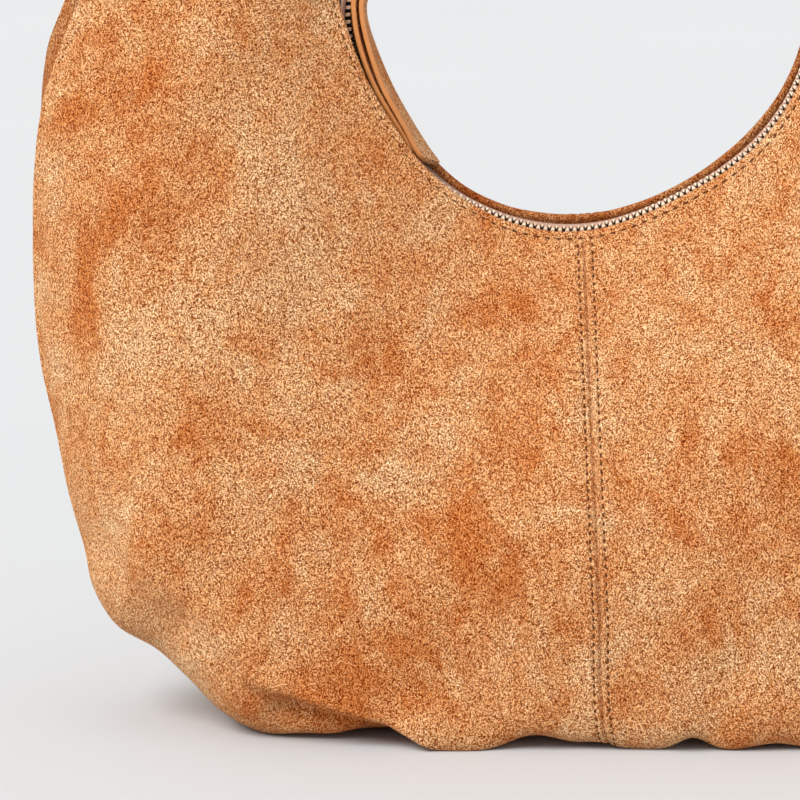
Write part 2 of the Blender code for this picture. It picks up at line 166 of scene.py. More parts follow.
# The mouth's edges on the cone, in millimetres: how far to a side of the chain they stand, and how far up.
RIM_DEG = (
    -96, -91, -88, -82, -75, -68, -62, -55, -50, -40, -30,
    -20, -10, 0, 8, 20, 30, 40, 50, 62, 80, 96,
)
RIM_SIDE = (
    7.4, 7.4, 7.4, 7.4, 7.35, 7.3, 7.3, 7.3, 7.2, 7.0, 6.2,
    5.6, 5.3, 5.2, 5.2, 5.2, 5.2, 5.2, 5.2, 5.2, 5.8, 7.2,
)
RIM_FRONT_LIFT = (
    -3.4, -2.3, -0.7, 2.6, 4.6, 5.8, 6.6, 7.1, 6.6, 5.9, 4.5,
    3.1, 2.75, 2.7, 2.7, 2.7, 2.7, 2.6, 2.6, 2.5, 2.4, 2.3,
)
RIM_BACK_LIFT = (
    1.5, 2.0, 2.6, 3.6, 4.6, 5.0, 5.3, 5.6, 5.4, 4.2, 3.2,
    3.5, 4.6, 4.6, 3.8, 2.8, 2.9, 3.8, 4.1, 3.5, 2.8, 2.3,
)
# The back's edge stands further from the chain, because its hem is turned in and twice as thick.
BACK_FURTHER = 1.0 * MM
BACK_LOWER = 0.5 * MM
HEM_WIDTH = 7 * MM
HEM_FADE = 2 * MM
# The u between which the hem thins out, and the u and v of the strip with painted shade beside the upper
# outer seam.
HEM_END = (0.55, 0.68)
STRIP_ALONG = (0.69, 0.97)
STRIP_FROM = 0.93
RIM_ARC_DEG = 95.0


def rim_curve(face, hand):
    """The mouth's edge of one quarter, from the middle seam to the horn's tip, as a dense polyline."""
    degrees = hand * np.linspace(0, RIM_ARC_DEG, 120)
    side = smooth_table(RIM_DEG, RIM_SIDE, degrees) * MM
    lift = smooth_table(RIM_DEG, RIM_FRONT_LIFT if face < 0 else RIM_BACK_LIFT, degrees) * MM
    if face > 0:
        side = side + BACK_FURTHER
        lift = lift - BACK_LOWER
    arc = on_zip(degrees, face * side, lift)
    arc[:, 0] *= hand
    start = arc[-1]
    tip = np.array((HORN_INNER_X, start[1], HORN_TOP))
    reach = np.linalg.norm(tip - start)
    leave = np.array((-0.08, 0.0, 1.0)) * reach
    arrive = np.array((0.12, 0.0, 1.0)) * reach
    t = np.linspace(0, 1, 60)[1:, None]
    rise = (2 * t**3 - 3 * t**2 + 1) * start + (t**3 - 2 * t**2 + t) * leave
    rise = rise + (3 * t**2 - 2 * t**3) * tip + (t**3 - t**2) * arrive
    return np.vstack([arc, rise])


# ---------------------------------------------------------------- the body's surface
OUTER_SEAM = np.array((
    (0.0, -4), (114, -4), (136, 3.2), (149, 15.5), (160, 26), (174.5, 34.5), (183, 48), (186.5, 64),
    (190.5, 80), (195.2, 106), (201.4, 136), (BODY_HALF_WIDTH / MM, 165), (202.2, 196), (199.6, 222),
    (195, 240), (175, 286), (147, 326), (130, 350),
)) * MM
SEAM_LINE = catmull(OUTER_SEAM, np.linspace(0, 1, 500))
RIM_LINE = {(face, hand): rim_curve(face, hand) for face in (-1, 1) for hand in (-1, 1)}

# Along the body from the middle (0) to a horn's tip (1): the half depth in millimetres, how far down from
# the mouth to the outer seam it is fullest, and how square the section is below that.
STATIONS = (0.0, 0.12, 0.24, 0.36, 0.5, 0.65, 0.8, 0.92, 1.0)
FULLNESS = (58, 57, 54, 49, 41, 30, 17, 7, 4.0)
FULLEST_AT = (0.72, 0.72, 0.70, 0.64, 0.56, 0.52, 0.50, 0.50, 0.50)
SQUARENESS = (6.5, 6.0, 3.6, 2.5, 2.0, 1.9, 1.9, 2.0, 2.2)
# Along the body: how much of its depth the mouth's edge keeps.
RIM_STATIONS = (0.0, 0.72, 0.80, 0.9, 1.0)
RIM_DEPTH = (1.0, 1.0, 0.45, 0.03, 0.5)
# The v at which a face is fullest.
SHOULDER = 0.55
# How far the middle seam leans to the right at the base, and how far the upper outer seam stands forward.
SEAM_LEAN = 12.5 * MM
SEAM_FORWARD = 9 * MM
# The back panels stand out beyond the upper outer seam, so that a strip of them shows from the front.
BACK_SHOWS = 6.2 * MM


def body_points(face, u, v):
    """The undisturbed surface of one face at numbers u (-1 to 1) and v (0 to 1)."""
    u, v = np.broadcast_arrays(np.asarray(u, float), np.asarray(v, float))
    shape = u.shape
    u, v = u.ravel(), v.ravel()
    station = np.abs(u)
    left = u < 0
    rim = np.where(left[:, None], evenly(RIM_LINE[face, -1], station), evenly(RIM_LINE[face, 1], station))
    seam = evenly(SEAM_LINE, station)
    depth = smooth_table(STATIONS, FULLNESS, station) * MM
    fullest = smooth_table(STATIONS, FULLEST_AT, station)
    power = 2 / smooth_table(STATIONS, SQUARENESS, station)
    edge = np.abs(rim[:, 1]) * np.clip(smooth_table(RIM_STATIONS, RIM_DEPTH, station), 0.03, 1)
    inner = np.clip(v / SHOULDER, 0, 1)
    outer = np.clip((v - SHOULDER) / (1 - SHOULDER), 0, 1) * (math.pi / 2)
    near_rim = v <= SHOULDER
    reach = np.where(near_rim, fullest * inner, fullest + (1 - fullest) * np.sin(outer) ** power)
    bulge = np.where(
        near_rim,
        edge + (depth - edge) * np.sin(inner * math.pi / 2),
        depth * np.maximum(np.cos(outer), 0) ** power,
    )
    x = (rim[:, 0] + (seam[:, 0] - rim[:, 0]) * reach) * np.where(left, -1, 1)
    z = rim[:, 2] + (seam[:, 1] - rim[:, 2]) * reach
    if face > 0:
        along = evenly(SEAM_LINE, np.minimum(station + 0.01, 1)) - evenly(SEAM_LINE, station - 0.01)
        shown = BACK_SHOWS * bell(v, 0.925, 0.05) * upper_seam(station, 0.71, 0.78)
        shown = shown / np.linalg.norm(along, axis=1)
        x = x + along[:, 1] * shown * np.where(left, -1, 1)
        z = z - along[:, 0] * shown
    x = x + SEAM_LEAN * v * (1 - station) ** 4
    y = face * bulge - seam_forward(station, v)
    return np.stack([x, y, z], axis=1).reshape(*shape, 3)


def upper_seam(station, begin, full):
    """1 beside the upper part of the outer seam, 0 below it and at the horn's tip."""
    return smoothstep(begin, full, station) * (1 - smoothstep(0.9, 1.0, station))


def seam_forward(station, v):
    """How far the outer seam and what is beside it stand towards the front."""
    return SEAM_FORWARD * upper_seam(station, 0.60, 0.78) * v**5


def body_normals(face, u, v):
    """Outward unit normals of the undisturbed surface."""
    step = 2e-3
    along = body_points(face, np.clip(u + step, -1, 1), v) - body_points(face, np.clip(u - step, -1, 1), v)
    across = body_points(face, u, np.clip(v + step, 0, 1)) - body_points(face, u, np.clip(v - step, 0, 1))
    normal = np.cross(along, across) * face
    return normal / np.maximum(np.linalg.norm(normal, axis=-1, keepdims=True), 1e-12)


def wobble(points, size, seed):
    """Smooth noise of about -1 to 1 whose features are about as large as size."""
    offset = Vector((seed * 17.3, seed * -5.1, seed * 9.7))
    flat = points.reshape(-1, 3) / size
    values = [noise.noise(Vector(p) + offset) for p in flat.tolist()]
    return np.array(values).reshape(points.shape[:-1])


# Creases and soft ridges: face, start (x, z), end (x, z), half-width and height, all in millimetres.
FOLDS = (
    (-1, (-120, 25), (-58, 1), 4.5, 3.0),
    (-1, (-108, 12), (-74, 1), 6.5, -8.0),
    (-1, (-168, 118), (-176, 70), 9.0, -1.6),
    (-1, (-176, 70), (-150, 38), 8.0, -1.8),
    (-1, (-160, 66), (-128, 34), 8.0, 1.6),
    (-1, (-146, 46), (-118, 20), 5.0, -1.8),
    (-1, (-84, 160), (-58, 158), 9.0, 1.3),
    (-1, (-90, 148), (-64, 128), 12.0, -1.2),
    (-1, (58, 108), (86, 92), 9.0, 1.4),
    (-1, (52, 96), (80, 78), 10.0, -1.4),
    (-1, (-52, 26), (-34, 9), 6.0, -1.8),
    (-1, (-22, 34), (-14, 7), 7.0, 1.6),
    (-1, (30, 28), (38, 7), 6.0, 1.7),
    (-1, (-54, 5), (-38, 4), 12.0, 5.0),
    (-1, (60, 36), (50, 10), 7.0, -1.6),
    (-1, (92, 42), (110, 14), 7.0, -2.2),
    (-1, (140, 60), (164, 40), 8.0, -2.0),
    (-1, (-122, 232), (-150, 178), 16.0, -1.6),
    (-1, (122, 232), (150, 178), 16.0, -1.6),
    (1, (-110, 30), (-70, 8), 6.0, -3.0),
    (1, (-20, 40), (-8, 8), 8.0, 1.8),
    (1, (46, 34), (60, 9), 7.0, -2.2),
    (1, (128, 50), (160, 36), 8.0, -2.2),
    (1, (70, 150), (104, 120), 14.0, -1.6),
    (1, (-96, 170), (-70, 120), 16.0, 1.5),
    (1, (-150, 90), (-172, 60), 10.0, -1.8),
)
# The suede's slouch, as two layers of smooth noise: height in millimetres, size in metres and seed.
SLOUCH = ((1.7, 52 * MM, 3), (0.7, 21 * MM, 7))

# Where the front's lower edge lifts off the floor: x, height and half-width in millimetres. The back's is
# turned the other way round.
BASE_LIFTS = (
    (-100, 2.5, 13), (-79, 4.1, 10), (-65, 5.0, 8.5), (-16, 5.0, 12), (6, 2.3, 8), (40.5, 4.9, 7.2),
    (70, 2.6, 11), (104, 3.0, 12),
)
# The lift fades with height, and it grows from nothing to full between two distances from the bag's middle.
LIFT_FADE = 9 * MM
LIFT_FROM, LIFT_FULL = 18 * MM, 44 * MM


def folds(face, points):
    """Height of the named folds at points of one face."""
    height = np.zeros(points.shape[:-1])
    flat = points[..., (0, 2)] / MM
    for side, start, end, width, amount in FOLDS:
        if side != face:
            continue
        run = np.subtract(end, start)
        share = np.clip(((flat - start) @ run) / (run @ run), 0, 1)
        away = np.linalg.norm(flat - start - share[..., None] * run, axis=-1)
        height += amount * np.exp(-((away / width) ** 2))
    return height * MM


def sewing(face, u, v, points):
    """Height of what the seams do to the suede: grooves, ridges and the pull of the stitches."""
    from_middle = np.abs(points[..., 0] - SEAM_LEAN * v * (1 - np.abs(u)) ** 4) / MM
    from_rim = v * rim_speed(face, u) / MM
    from_outer = np.abs(points[..., 1] + seam_forward(np.abs(u), v)) / MM
    down_side = smoothstep(0.75, 0.85, v) * smoothstep(0.38, 0.46, np.abs(u))
    height = -1.15 * bell(from_middle, 0, 0.75) * smoothstep(0.004, 0.03, v)
    height += -0.28 * bell(from_middle, MIDDLE_ROW / MM, 0.55)
    height += 0.25 * bell(from_middle, 1.2, 0.6) + 0.25 * bell(from_middle, 4.2, 1.6)
    height += -0.25 * bell(from_rim, RIM_ROW / MM, 0.5) + 0.15 * bell(from_rim, 1.1, 0.6)
    height += down_side * (0.55 * bell(from_outer, 4.4, 1.3) - 0.35 * bell(from_outer, 7.0, 1.8))
    height += -0.9 * bell(from_outer, 0, 0.7) * upper_seam(np.abs(u), 0.68, 0.76) * smoothstep(0.8, 0.9, v)
    return height * MM


def rim_speed(face, u):
    """How fast the surface leaves the mouth's edge as v grows, in metres."""
    step = 0.01
    return np.linalg.norm(body_points(face, u, step) - body_points(face, u, 0.0), axis=-1) / step


def body_surface(face, u, v):
    """Points and outward normals of one face's suede, with its slouch, folds and sewing."""
    u, v = np.broadcast_arrays(np.asarray(u, float), np.asarray(v, float))
    points = body_points(face, u, v)
    normals = body_normals(face, u, v)
    inside = smoothstep(0.0, 0.14, v) * smoothstep(1.0, 0.9, v) * smoothstep(1.0, 0.9, np.abs(u))
    slouch = sum(height * wobble(points, size, seed + face) for height, size, seed in SLOUCH)
    loose = inside * smoothstep(0.0, 0.03, np.abs(u)) + 0.35 * inside
    height = slouch * MM * np.minimum(loose, 1.0) + folds(face, points) * inside
    points = points + normals * (height + sewing(face, u, v, points))[..., None]
    points[..., 2] = np.maximum(points[..., 2], 0.0) + base_lift(face, points)
    return points, normals


def base_lift(face, points):
    """How far the base stands clear of the floor at points of one face."""
    low = np.exp(-np.maximum(points[..., 2], 0) / LIFT_FADE)
    low = low * smoothstep(LIFT_FROM, LIFT_FULL, face * points[..., 1])
    lift = sum(rise * bell(points[..., 0] / MM, face * -at, width) for at, rise, width in BASE_LIFTS)
    return low * lift * MM


# ---------------------------------------------------------------- meshes


def add_mesh(name, points, faces, looks, smooth=True, look_index=None):
    """A linked object. look_index gives each face's look, and without it all have the first."""
    mesh = bpy.data.meshes.new(name)
    mesh.from_pydata(np.asarray(points, float).tolist(), [], [tuple(f) for f in faces])
    for look in looks:
        mesh.materials.append(look)
    if look_index is not None:
        mesh.polygons.foreach_set("material_index", np.asarray(look_index, np.int32))
    if smooth:
        mesh.shade_smooth()
    mesh.update()
    made = bpy.data.objects.new(name, mesh)
    bpy.context.scene.collection.objects.link(made)
    return made


def grid_faces(rows, columns, close_rows=False):
    """Quads of a grid of points, its rows optionally closed into rings."""
    last = columns if close_rows else columns - 1
    i, j = np.meshgrid(np.arange(rows - 1), np.arange(last), indexing="ij")
    k = (j + 1) % columns
    here, there = i * columns, (i + 1) * columns
    quads = np.stack([here + j, here + k, there + k, there + j], axis=-1)
    return quads.reshape(-1, 4)


def finish_piece(piece, body, slot, *nodes):
    """Says which body a piece rides on and which CAD nodes it stands for, and hides those nodes. slot is not
    used.
    """
    if nodes:
        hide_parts(*nodes)
    if body:
        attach(piece, body)
    return piece


def thick_sheet(name, points, normals, thickness, looks, second=None):
    """A closed sheet with rounded edges, its outside a grid of points. second marks where the outside and
    the inside have the second look."""
    rows, columns = points.shape[:2]
    thickness = np.broadcast_to(thickness, (rows, columns))
    border = [(i, 0) for i in range(rows)]
    border += [(rows - 1, j) for j in range(1, columns)]
    border += [(i, columns - 1) for i in range(rows - 2, -1, -1)]
    border += [(0, j) for j in range(columns - 2, 0, -1)]
    at = np.array(border)
    into = np.clip(at, 1, (rows - 2, columns - 2))
    edge, edge_normal = points[at[:, 0], at[:, 1]], normals[at[:, 0], at[:, 1]]
    outwards = edge - points[into[:, 0], into[:, 1]]
    outwards -= (outwards * edge_normal).sum(1, keepdims=True) * edge_normal
    outwards /= np.maximum(np.linalg.norm(outwards, axis=1, keepdims=True), 1e-9)
    count = rows * columns
    inner = points - normals * thickness[..., None]
    half = thickness[at[:, 0], at[:, 1], None] / 2
    turns = (math.pi / 4, math.pi / 2, 3 * math.pi / 4)
    rings = [
        edge + half * (outwards * math.sin(turn) - edge_normal * (1 - math.cos(turn))) for turn in turns
    ]
    everything = np.vstack([points.reshape(-1, 3), inner.reshape(-1, 3)] + rings)
    quads = grid_faces(rows, columns)
    faces = [quads[:, ::-1], quads + count]
    ids = [at[:, 0] * columns + at[:, 1]]
    ids += [2 * count + k * len(border) + np.arange(len(border)) for k in range(len(rings))]
    ids += [ids[0] + count]
    for here, there in zip(ids, ids[1:]):
        faces.append(np.stack([here, np.roll(here, -1), np.roll(there, -1), there], axis=1))
    faces = np.vstack(faces)
    index = None
    if second is not None:
        outside, inside = second
        around = [inside[at[:, 0], at[:, 1]]] * len(rings)
        index = np.concatenate([outside.ravel(), inside.ravel()] + around)[faces[:, 0]].astype(int)
    made = add_mesh(name, everything, faces.tolist(), looks, look_index=index)
    return face_outwards(made)


def face_outwards(piece):
    """Makes all faces of a closed mesh point out."""
    shape = bmesh.new()
    shape.from_mesh(piece.data)
    bmesh.ops.recalc_face_normals(shape, faces=shape.faces)
    if shape.calc_volume(signed=True) < 0:
        bmesh.ops.reverse_faces(shape, faces=shape.faces)
    shape.to_mesh(piece.data)
    shape.free()
    return piece


def sweep(name, rings, looks, look_of_side=None):
    """A closed solid through rings of points, with its two ends capped."""
    rings = np.asarray(rings, float)
    rows, columns = rings.shape[:2]
    faces = grid_faces(rows, columns, close_rows=True).tolist()
    sides = np.tile(np.arange(columns), rows - 1)
    index = [look_of_side(side) for side in sides] if look_of_side else [0] * len(faces)
    faces.append(list(range(columns))[::-1])
    faces.append([(rows - 1) * columns + j for j in range(columns)])
    index += [0, 0]
    made = add_mesh(name, rings.reshape(-1, 3), faces, looks, look_index=index)
    return face_outwards(made)


def dense(*parts):
    """Numbers along several stretches, each given as (start, end, steps)."""
    return np.unique(np.concatenate([np.linspace(a, b, steps + 1) for a, b, steps in parts]))


# ---------------------------------------------------------------- materials


class Nodes:
    """A short way to build one procedural material."""

    def __init__(self, name, roughness, metallic=0.0):
        self.material = bpy.data.materials.new(name)
        self.material.use_nodes = True
        self.tree = self.material.node_tree
        self.shader = self.tree.nodes["Principled BSDF"]
        self.shader.inputs["Roughness"].default_value = roughness
        self.shader.inputs["Metallic"].default_value = metallic
        self.place = self.tree.nodes.new("ShaderNodeTexCoord").outputs["Object"]

    def link(self, source, socket):
        self.tree.links.new(source, socket)

    def stretched(self, scale, rotation):
        node = self.tree.nodes.new("ShaderNodeMapping")
        node.inputs["Scale"].default_value = scale
        node.inputs["Rotation"].default_value = rotation
        self.link(self.place, node.inputs["Vector"])
        return node.outputs["Vector"]

    def noise(self, scale, detail=2.0, rough=0.5, distortion=0.0, place=None):
        node = self.tree.nodes.new("ShaderNodeTexNoise")
        node.inputs["Scale"].default_value = scale
        node.inputs["Detail"].default_value = detail
        node.inputs["Roughness"].default_value = rough
        node.inputs["Distortion"].default_value = distortion
        self.link(place or self.place, node.inputs["Vector"])
        return node.outputs["Fac"]

    def wave(self, scale, place, direction="X"):
        node = self.tree.nodes.new("ShaderNodeTexWave")
        node.bands_direction = direction
        node.inputs["Scale"].default_value = scale
        self.link(place, node.inputs["Vector"])
        return node.outputs["Fac"]

    def math(self, operation, first, second):
        node = self.tree.nodes.new("ShaderNodeMath")
        node.operation = operation
        for value, socket in zip((first, second), node.inputs):
            if isinstance(value, (int, float)):
                socket.default_value = value
            else:
                self.link(value, socket)
        return node.outputs["Value"]

    def clamped(self, source):
        """Source, held between 0 and 1."""
        node = self.tree.nodes.new("ShaderNodeClamp")
        self.link(source, node.inputs["Value"])
        return node.outputs["Result"]

    def weigh(self, *terms):
        """Sum of source times weight, about the sources' middle value of one half."""
        total = 0.5
        for source, weight in terms:
            part = self.math("MULTIPLY", self.math("SUBTRACT", source, 0.5), weight)
            total = self.math("ADD", part, total)
        return total

    def ramp(self, source, stops):
        node = self.tree.nodes.new("ShaderNodeValToRGB")
        while len(node.color_ramp.elements) < len(stops):
            node.color_ramp.elements.new(0.5)
        for element, (at, colour) in zip(node.color_ramp.elements, stops):
            element.position = at
            element.color = (*colour, 1.0)
        self.link(source, node.inputs["Fac"])
        return node.outputs["Color"]

    def multiply(self, first, second):
        node = self.tree.nodes.new("ShaderNodeMix")
        node.data_type = "RGBA"
        node.blend_type = "MULTIPLY"
        node.inputs["Factor"].default_value = 1.0
        self.link(first, node.inputs[6])
        self.link(second, node.inputs[7])
        return node.outputs[2]

    def colour(self, source):
        self.link(source, self.shader.inputs["Base Color"])

    def bump(self, source, distance, strength=1.0):
        node = self.tree.nodes.new("ShaderNodeBump")
        node.inputs["Distance"].default_value = distance
        node.inputs["Strength"].default_value = strength
        self.link(source, node.inputs["Height"])
        self.link(node.outputs["Normal"], self.shader.inputs["Normal"])


def suede_look(name, painted_shade):
    """Napped suede: a fine, contrasty nap over brushed patches from pale tan to deep orange."""
    n = Nodes(name, 0.94)
    across = n.stretched((1.0, 1.0, 0.6), (0.0, 0.6, 0.0))
    broad = n.noise(16, 5, 0.6, 1.2)
    brushed = n.noise(48, 6, 0.68, 1.0, across)
    mottled = n.noise(210, 3, 0.6, 0.3)
    nap = n.noise(1900, 2, 0.65, 0.8, n.stretched((1.0, 1.0, 0.8), (0.0, 0.6, 0.0)))
    hair = n.noise(3300, 1, 0.5)
    patch = n.clamped(n.weigh((broad, 2.3), (brushed, 1.8), (mottled, 0.35)))
    grain = n.math("SUBTRACT", n.weigh((nap, 5.6), (hair, 4.6)), 0.5)
    raised = n.math("ADD", n.math("MULTIPLY", patch, 0.4), 0.8)
    fine = n.ramp(n.math("ADD", n.math("MULTIPLY", grain, raised), 0.5), (
        (0.0, (0.17, 0.020, 0.001)),
        (0.25, (0.41, 0.080, 0.005)),
        (0.5, (0.68, 0.215, 0.034)),
        (0.75, (1.0, 0.40, 0.115)),
        (1.0, (1.0, 0.64, 0.33)),
    ))
    # painted_shade darkens the patches, for a copy of the suede that carries painted shade.
    patches = n.ramp(patch, (
        (0.1, tuple(s * c for s, c in zip(painted_shade, (0.82, 0.60, 0.42)))),
        (0.5, painted_shade),
        (0.9, tuple(s * c for s, c in zip(painted_shade, (1.08, 1.28, 1.50)))),
    ))
    n.colour(n.multiply(fine, patches))
    n.bump(n.weigh((nap, 1.4), (hair, 0.8), (mottled, 0.5)), 0.5 * MM, 1.0)
    n.shader.inputs["Sheen Weight"].default_value = 0.07
    n.shader.inputs["Sheen Roughness"].default_value = 0.45
    n.shader.inputs["Sheen Tint"].default_value = (1.0, 0.68, 0.40, 1.0)
    n.shader.inputs["Specular IOR Level"].default_value = 0.05
    return n.material


def edge_paint_look():
    """The glossy paint on the pull's cut edges."""
    n = Nodes("edge_paint", 0.42)
    mix = n.weigh((n.noise(180, 3), 0.7), (n.noise(900, 2), 0.3))
    n.colour(n.ramp(mix, ((0.2, (0.49, 0.16, 0.036)), (0.8, (0.62, 0.25, 0.066)))))
    n.bump(n.noise(420, 3), 0.05 * MM, 0.4)
    n.shader.inputs["Coat Weight"].default_value = 0.25
    n.shader.inputs["Coat Roughness"].default_value = 0.3
    return n.material


def thread_painted_shade_look():
    """Twisted thread, coloured dark brown as painted shade of the sunk stitches and their holes."""
    n = Nodes("thread", 0.7)
    twist = n.wave(520, n.stretched((1, 1, 1), (0.6, 0.7, 0.4)))
    mix = n.weigh((twist, 0.5), (n.noise(900, 2), 0.6))
    n.colour(n.ramp(mix, ((0.2, (0.075, 0.019, 0.004)), (0.8, (0.18, 0.058, 0.015)))))
    n.bump(twist, 0.08 * MM, 0.6)
    n.shader.inputs["Specular IOR Level"].default_value = 0.15
    return n.material


def painted_shade_metal_look():
    """Dark metal on the flanks of the zip's teeth: painted shade for the gaps between them."""
    n = Nodes("metal_painted_shade", 0.55, 0.6)
    mix = n.weigh((n.noise(300, 3), 0.8), (n.noise(1400, 2), 0.5))
    n.colour(n.ramp(mix, ((0.2, (0.026, 0.017, 0.011)), (0.8, (0.085, 0.055, 0.036)))))
    n.bump(n.noise(1100, 3), 0.03 * MM, 0.5)
    return n.material


def metal_look():
    """The zip's pale gold metal."""
    n = Nodes("pale_gold_metal", 0.3, 0.45)
    mix = n.weigh((n.noise(260, 4, 0.6), 0.8), (n.noise(1400, 2), 0.5))
    stops = ((0.2, (0.92, 0.68, 0.46)), (0.5, (1.0, 0.82, 0.60)), (0.8, (1.0, 0.92, 0.78)))
    n.colour(n.ramp(mix, stops))
    n.bump(n.noise(1100, 3), 0.04 * MM, 0.5)
    return n.material


def cloth_look(name, dark, light, threads_per_metre):
    """Woven cloth: two crossing sets of threads over a slow change of shade."""
    n = Nodes(name, 0.9)
    warp = n.wave(threads_per_metre / 2, n.place, "X")
    weft = n.wave(threads_per_metre / 2, n.place, "Z")
    weave = n.math("MAXIMUM", warp, weft)
    mix = n.weigh((weave, 0.5), (n.noise(60, 3), 0.5), (n.noise(1500, 2), 0.4))
    n.colour(n.ramp(mix, ((0.2, dark), (0.8, light))))
    n.bump(weave, 0.12 * MM, 0.6)
    n.shader.inputs["Sheen Weight"].default_value = 0.15
    return n.material


SUEDE_LOOK = suede_look("suede", (1.0, 1.0, 1.0))
# A darker copy of the suede, as painted shade on the back hem's inside and on the strip beside the upper
# outer seam.
SUEDE_PAINTED_SHADE_LOOK = suede_look("suede_painted_shade", (0.66, 0.52, 0.42))
EDGE_LOOK = edge_paint_look()
# Thread darkened as painted shade of the stitch holes.
THREAD_PAINTED_SHADE_LOOK = thread_painted_shade_look()
METAL_LOOK = metal_look()
# Metal darkened as painted shade, for the teeth's flanks.
FLANK_PAINTED_SHADE_LOOK = painted_shade_metal_look()
LINING_LOOK = cloth_look("cotton_lining", (0.33, 0.24, 0.155), (0.50, 0.40, 0.29), 1500)
TAPE_LOOK = cloth_look("zip_tape", (0.40, 0.21, 0.14), (0.64, 0.39, 0.28), 2200)
# Near-black tape: painted shade where the tape runs in under the teeth.
TAPE_PAINTED_SHADE_LOOK = cloth_look("zip_tape_painted_shade", (0.012, 0.006, 0.004), (0.05, 0.026, 0.016), 2200)
WEBBING_LOOK = cloth_look("webbing", (0.17, 0.10, 0.055), (0.37, 0.25, 0.15), 1000)


# ---------------------------------------------------------------- stitches


def stitches(name, rows, body, slot="suede", pitch=STITCH_PITCH, stitch=STITCH_LENGTH):
    """Short twisted stitches along rows of (points, normals), each sunk into the surface at its ends."""
    sides, steps = 6, 6
    around = np.linspace(0, 2 * math.pi, sides, endpoint=False)
    share = np.linspace(0, 1, steps)
    rise = STITCH_ENDS + STITCH_RISE * np.sin(math.pi * share)
    girth = THREAD_RADIUS * (0.55 + 0.45 * np.sin(math.pi * share))
    points, faces = [], []
    for line, normals in rows:
        gaps = np.linalg.norm(np.diff(line, axis=0), axis=1)
        length = np.concatenate([[0.0], np.cumsum(gaps)])
        starts = np.arange(pitch / 2, length[-1] - pitch, pitch)
        for start in starts:
            at = start + share * stitch
            centre = np.stack([np.interp(at, length, line[:, k]) for k in range(3)], axis=1)
            normal = np.array([np.interp(start, length, normals[:, k]) for k in range(3)])
            normal /= np.linalg.norm(normal)
            run = centre[-1] - centre[0]
            run /= np.linalg.norm(run)
            beside = np.cross(run, normal)
            ring = beside * np.cos(around)[:, None] + normal * np.sin(around)[:, None]
            base = len(points) * sides * steps
            centre = centre + rise[:, None] * normal
            points.append((centre[:, None] + girth[:, None, None] * ring).reshape(-1, 3))
            faces += (grid_faces(steps, sides, close_rows=True) + base).tolist()
            faces.append([base + k for k in range(sides)][::-1])
            faces.append([base + (steps - 1) * sides + k for k in range(sides)])
    made = add_mesh(name, np.vstack(points), faces, [THREAD_PAINTED_SHADE_LOOK])
    return finish_piece(made, body, slot)


# ---------------------------------------------------------------- suede panels

ALONG_DETAIL = 8 * MM
# How far inside the suede the lining hangs, how far inside the lining the pocket hangs, and their cotton.
LINING_EASE = 2.6 * MM
POCKET_EASE = 1.6 * MM
COTTON = 0.7 * MM


def middle_speed(face, hand, v):
    """How fast the surface leaves the middle seam as u grows, in metres."""
    step = 0.004
    return np.abs(body_points(face, hand * step, v)[:, 0] - body_points(face, 0.0, v)[:, 0]) / step


def quarter_numbers(face, hand):
    """u and v of a quarter's grid: close lines beside the middle seam and the mouth's edge."""
    v = dense((0.0, 0.024, 9), (0.024, 0.10, 9), (0.10, 0.86, 88), (0.86, 1.0, 26))
    close = dense((0.10 * MM, 3.4 * MM, 9), (3.4 * MM, ALONG_DETAIL, 5))
    near = close[:, None] / middle_speed(face, hand, v)[None, :]
    spread = dense((0, 0.30, 54), (0.30, 0.72, 66), (0.72, 1.0, 42))[1:]
    far = near[-1][None, :] + (1 - near[-1])[None, :] * spread[:, None]
    u = np.vstack([near, far]) * hand
    return u, np.broadcast_to(v[None, :], u.shape)


def add_panel(word, face, side, hand):
    """One suede quarter. The back ones have a hem, and suede with painted shade on its inside and beside the
    seam.
    """
    u, v = quarter_numbers(face, hand)
    points, normals = body_surface(face, u, v)
    thickness = SUEDE
    looks, shaded = [SUEDE_LOOK], None
    if face > 0:
        from_rim = v * rim_speed(face, u)
        hem = 1 - smoothstep(HEM_WIDTH, HEM_WIDTH + HEM_FADE, from_rim)
        thickness = SUEDE * (1 + 0.9 * hem * (1 - smoothstep(*HEM_END, np.abs(u))))
        looks.append(SUEDE_PAINTED_SHADE_LOOK)
        beside_seam = (v > STRIP_FROM) & (np.abs(u) > STRIP_ALONG[0]) & (np.abs(u) < STRIP_ALONG[1])
        # The hem's inside and the strip beside the seam get the suede with painted shade.
        shaded = (beside_seam, beside_seam | (from_rim < HEM_WIDTH + HEM_FADE))
    piece = thick_sheet(f"suede_{word}_{side}", points, normals, thickness, looks, shaded)
    finish_piece(piece, "bag", "suede", f"{word}_panel_{side}")


def rim_row(face):
    """The row beside the mouth's edge, which sinks into the nap towards the left."""
    u = np.linspace(-0.985, 0.985, 1001)
    points, normals = body_surface(face, u, RIM_ROW / rim_speed(face, u))
    sunk = 0.2 * MM * smoothstep(0.10, 0.26, -u)
    return points - normals * sunk[:, None], normals


def middle_row(face, hand):
    """The row beside the middle seam, from the mouth's edge down to the base."""
    v = np.linspace(0.010, 0.93, 420)
    return body_surface(face, hand * MIDDLE_ROW / middle_speed(face, hand, v), v)


def tip_row(face, hand):
    """The row across a horn's tip."""
    v = np.linspace(0.06, 0.94, 60)
    step = 0.03
    last = body_points(face, hand * 1.0, v) - body_points(face, hand * (1 - step), v)
    speed = np.linalg.norm(last, axis=-1) / step
    return body_surface(face, hand * (1 - TIP_ROW / speed), v)


def add_body():
    """The four suede quarters and the stitches that show on them."""
    for word, face in FACES:
        for side, hand in HANDS:
            add_panel(word, face, side, hand)
        middle = [middle_row(face, hand) for _, hand in HANDS]
        stitches(f"stitches_{word}_seam", middle, "bag", pitch=SEAM_PITCH, stitch=SEAM_STITCH)
        stitches(f"stitches_{word}_mouth", [rim_row(face)], "bag")
        tips = [tip_row(face, hand) for _, hand in HANDS]
        stitches(f"stitches_{word}_horns", tips, "bag")


